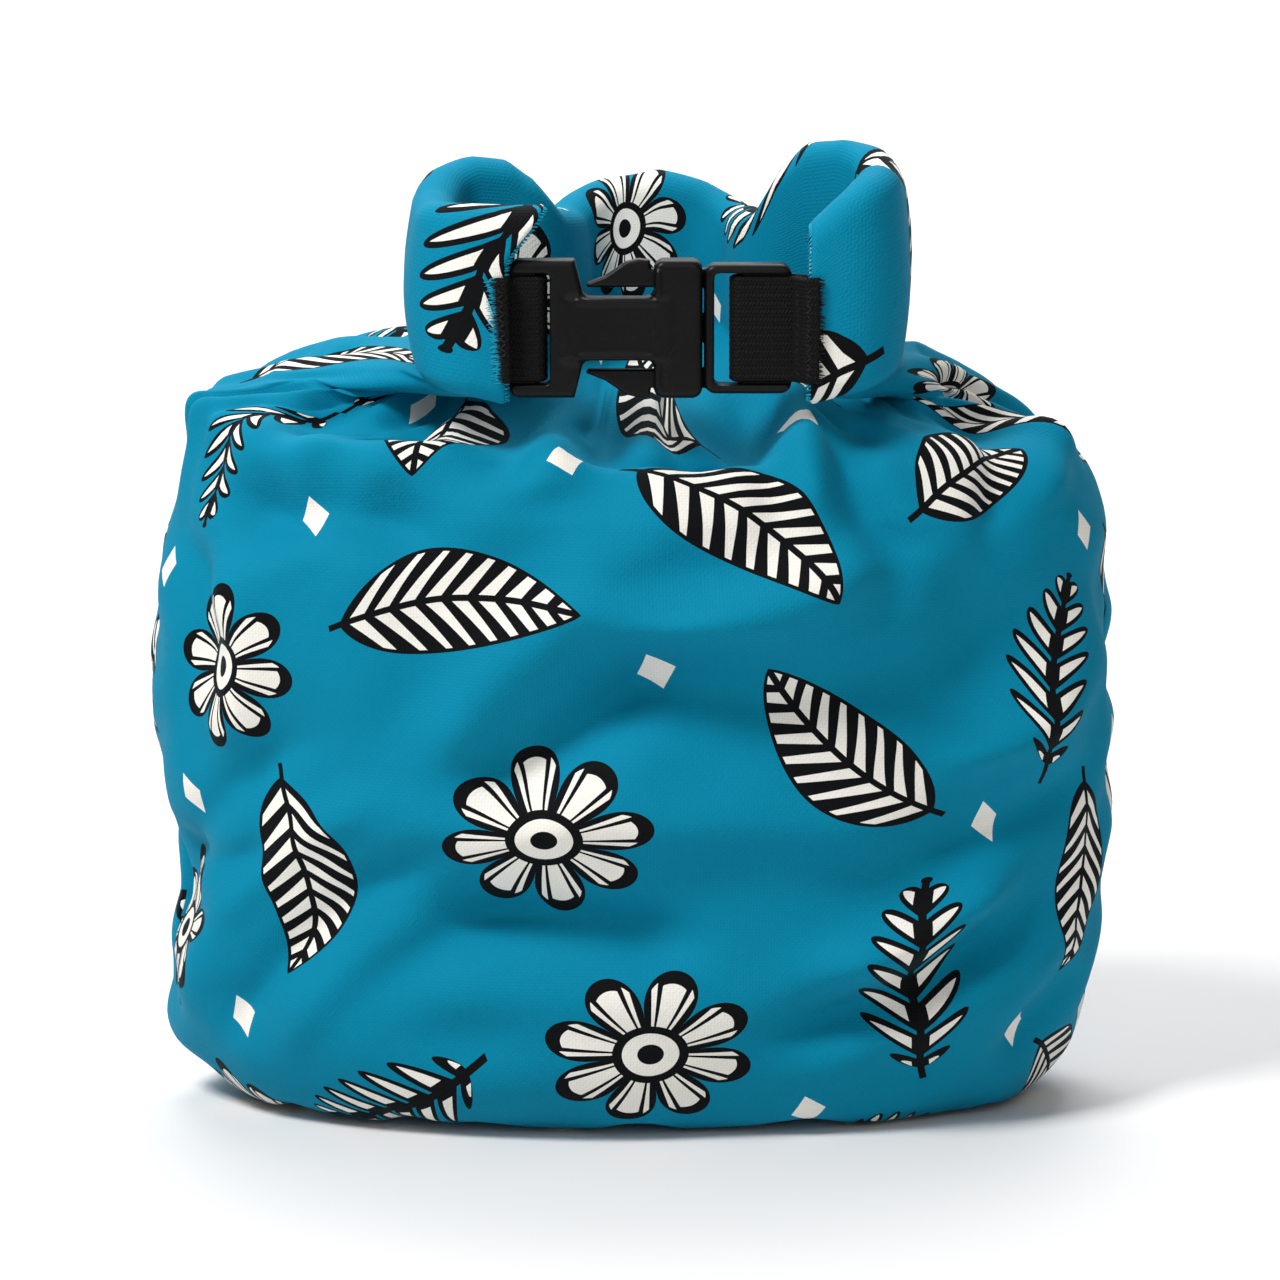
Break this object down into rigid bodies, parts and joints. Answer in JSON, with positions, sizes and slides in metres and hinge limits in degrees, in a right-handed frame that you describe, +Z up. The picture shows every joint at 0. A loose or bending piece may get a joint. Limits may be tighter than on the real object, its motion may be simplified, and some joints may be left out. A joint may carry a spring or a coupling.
{
  "type": "roll-top wet bag",
  "caption": "Stuffed cloth pouch standing upright, its mouth rolled down, bent into an open ring and joined in front by a side release buckle on two webbing tabs.",
  "frame": {"origin": "middle of the flat base that the bag stands on", "axes": "+Z up out of the base, +X to the right of someone facing the buckle, +Y from the buckle to the back"},
  "size_m": [0.2372, 0.1114, 0.236],
  "materials": {
    "cloth": "matte printed woven cloth with a laminated inner face",
    "webbing": "matte ribbed woven band",
    "buckle_plastic": "moulded, satin"
  },
  "bodies": {
    "root": {"bag_shell": "cloth", "webbing_left": "webbing", "webbing_right": "webbing", "buckle_socket": "buckle_plastic", "buckle_prong": "buckle_plastic"}
  },
  "joints": []
}
